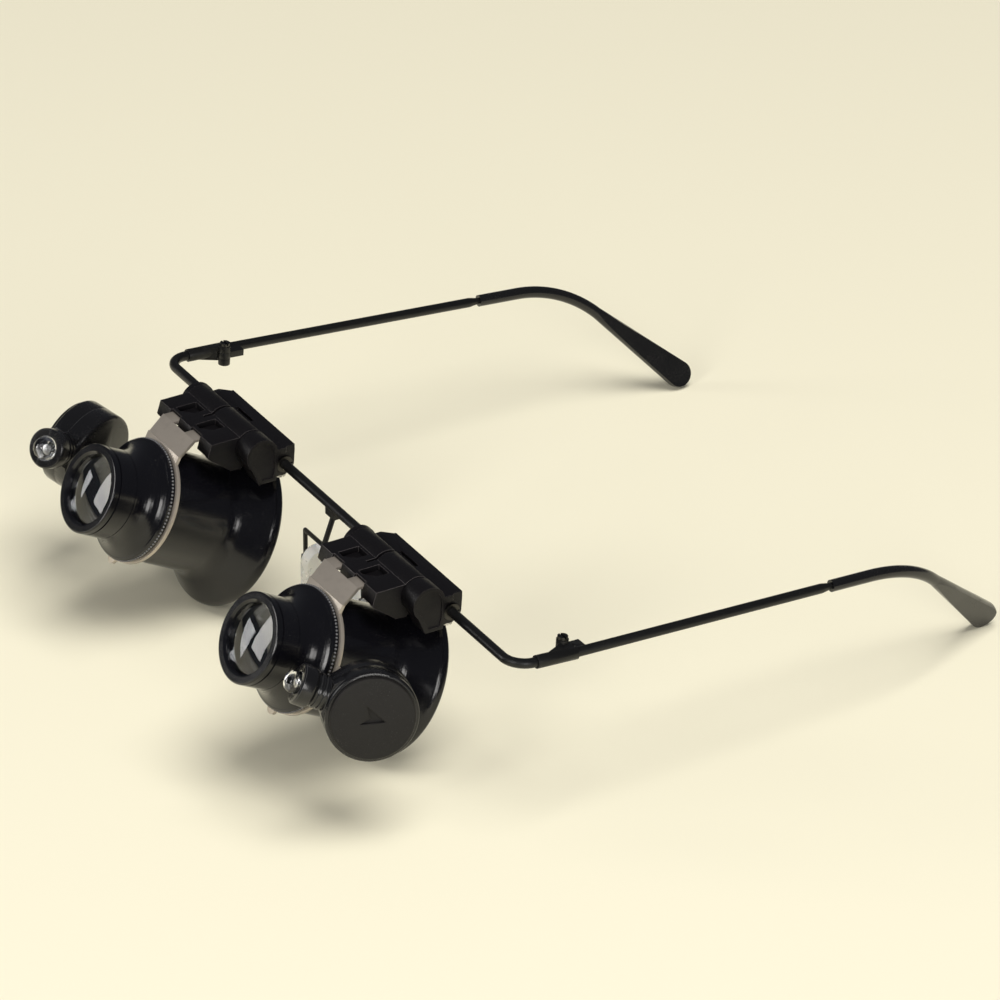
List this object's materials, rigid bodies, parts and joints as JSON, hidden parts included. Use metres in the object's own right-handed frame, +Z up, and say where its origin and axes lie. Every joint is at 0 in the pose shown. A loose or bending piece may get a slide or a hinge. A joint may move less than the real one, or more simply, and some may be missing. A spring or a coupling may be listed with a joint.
{
  "type": "lighted spectacle loupe",
  "caption": "Wire spectacle frame with black magnifier tubes on flip-up clips, each with a small battery lamp at its outer side, silicone nose pads and folding temples.",
  "frame": {"origin": "on the surface, below the middle of the box round the whole object", "axes": "+X along the brow bar to the wearer's left, -Y the way the wearer looks, +Z up"},
  "size_m": [0.1488, 0.1697, 0.0423],
  "materials": {
    "coated_wire": "black coated spring wire, satin",
    "screw_steel": "bright steel",
    "spring_steel": "spring steel",
    "nickel": "nickel-plated sheet",
    "tip_plastic": "black ear sleeve",
    "silicone": "clear white silicone",
    "clip_plastic": "satin black moulding",
    "tube_gloss": "gloss black moulding",
    "inner_black": "matt black",
    "lens_glass": "coated lens",
    "lamp_shell": "satin black moulding",
    "cap_plastic": "matt dark grey",
    "cell_steel": "cell case",
    "contact_metal": "contact spring",
    "bulb_clear": "clear epoxy bulb"
  },
  "bodies": {
    "frame": {"front_bar": "coated_wire", "hinge_block_left": "coated_wire", "hinge_block_right": "coated_wire", "hinge_screws": "screw_steel", "nose_wire": "coated_wire", "pad_screws": "screw_steel"},
    "pad_left": {"nose_pad_left": "silicone"},
    "temple_left": {"temple_rod_left": "coated_wire", "temple_tip_left": "tip_plastic"},
    "slider_left": {"clip_liner_left": "spring_steel"},
    "clip_left": {"clip_base_left": "clip_plastic", "clip_screw_left": "screw_steel", "flip_pin_left": "screw_steel"},
    "loupe_left": {"clip_leaf_left": "clip_plastic", "flip_spring_left": "spring_steel", "mount_plate_left": "nickel", "swivel_pin_left": "screw_steel", "front_cell_left": "tube_gloss", "front_lens_left": "lens_glass", "lens_spacer_left": "inner_black", "rear_lens_left": "lens_glass", "lens_ring_left": "inner_black", "eyecup_left": "tube_gloss"},
    "lamp_left": {"lamp_inner_left": "lamp_shell", "lamp_outer_left": "lamp_shell", "coin_cells_left": "cell_steel", "contact_left": "contact_metal", "reflector_left": "nickel", "bulb_left": "bulb_clear"},
    "cap_left": {"battery_cap_left": "cap_plastic"},
    "pad_right": {"nose_pad_right": "silicone"},
    "temple_right": {"temple_rod_right": "coated_wire", "temple_tip_right": "tip_plastic"},
    "slider_right": {"clip_liner_right": "spring_steel"},
    "clip_right": {"clip_base_right": "clip_plastic", "clip_screw_right": "screw_steel", "flip_pin_right": "screw_steel"},
    "loupe_right": {"clip_leaf_right": "clip_plastic", "flip_spring_right": "spring_steel", "mount_plate_right": "nickel", "swivel_pin_right": "screw_steel", "front_cell_right": "tube_gloss", "front_lens_right": "lens_glass", "lens_spacer_right": "inner_black", "rear_lens_right": "lens_glass", "lens_ring_right": "inner_black", "eyecup_right": "tube_gloss"},
    "lamp_right": {"lamp_inner_right": "lamp_shell", "lamp_outer_right": "lamp_shell", "coin_cells_right": "cell_steel", "contact_right": "contact_metal", "reflector_right": "nickel", "bulb_right": "bulb_clear"},
    "cap_right": {"battery_cap_right": "cap_plastic"}
  },
  "joints": [
    {"name": "temple_fold_left", "type": "hinge", "parent": "frame", "child": "temple_left", "pos_m": [0.0703, -0.02839, 0.03422], "axis": [0, 0.0723, 0.9974], "range_deg": [0, 88]},
    {"name": "pad_rock_left", "type": "hinge", "parent": "frame", "child": "pad_left", "pos_m": [0.0102, -0.04106, 0.01654], "axis": [0, 1, 0], "range_deg": [-8, 8]},
    {"name": "clip_slide_left", "type": "slide", "parent": "frame", "child": "slider_left", "axis": [1, 0, 0], "range_m": [-0.003, 0.003]},
    {"name": "clip_tilt_left", "type": "hinge", "parent": "slider_left", "child": "clip_left", "pos_m": [0.0346, -0.04106, 0.03514], "axis": [-1, 0, 0], "range_deg": [-35, 30]},
    {"name": "flip_up_left", "type": "hinge", "parent": "clip_left", "child": "loupe_left", "pos_m": [0.0346, -0.04636, 0.03854], "axis": [-1, 0, 0], "range_deg": [0, 90]},
    {"name": "lamp_pitch_left", "type": "hinge", "parent": "loupe_left", "child": "lamp_left", "pos_m": [0.0546, -0.06556, 0.0258], "axis": [-1, 0, 0], "range_deg": [-20, 20]},
    {"name": "cap_turn_left", "type": "hinge", "parent": "lamp_left", "child": "cap_left", "pos_m": [0.0604, -0.06725, 0.02672], "axis": [0.9219, -0.3406, 0.1849], "range_deg": [0, 40]},
    {"name": "temple_fold_right", "type": "hinge", "parent": "frame", "child": "temple_right", "pos_m": [-0.0703, -0.02839, 0.03422], "axis": [0, -0.0723, -0.9974], "range_deg": [0, 80]},
    {"name": "pad_rock_right", "type": "hinge", "parent": "frame", "child": "pad_right", "pos_m": [-0.0102, -0.04106, 0.01654], "axis": [0, 1, 0], "range_deg": [-8, 8]},
    {"name": "clip_slide_right", "type": "slide", "parent": "frame", "child": "slider_right", "axis": [-1, 0, 0], "range_m": [-0.003, 0.003]},
    {"name": "clip_tilt_right", "type": "hinge", "parent": "slider_right", "child": "clip_right", "pos_m": [-0.0346, -0.04106, 0.03514], "axis": [-1, 0, 0], "range_deg": [-35, 30]},
    {"name": "flip_up_right", "type": "hinge", "parent": "clip_right", "child": "loupe_right", "pos_m": [-0.0346, -0.04636, 0.03854], "axis": [-1, 0, 0], "range_deg": [0, 90]},
    {"name": "lamp_pitch_right", "type": "hinge", "parent": "loupe_right", "child": "lamp_right", "pos_m": [-0.0546, -0.06556, 0.0258], "axis": [-1, 0, 0], "range_deg": [-20, 20]},
    {"name": "cap_turn_right", "type": "hinge", "parent": "lamp_right", "child": "cap_right", "pos_m": [-0.0604, -0.06725, 0.02672], "axis": [-0.9219, -0.3406, 0.1849], "range_deg": [0, 40]}
  ]
}
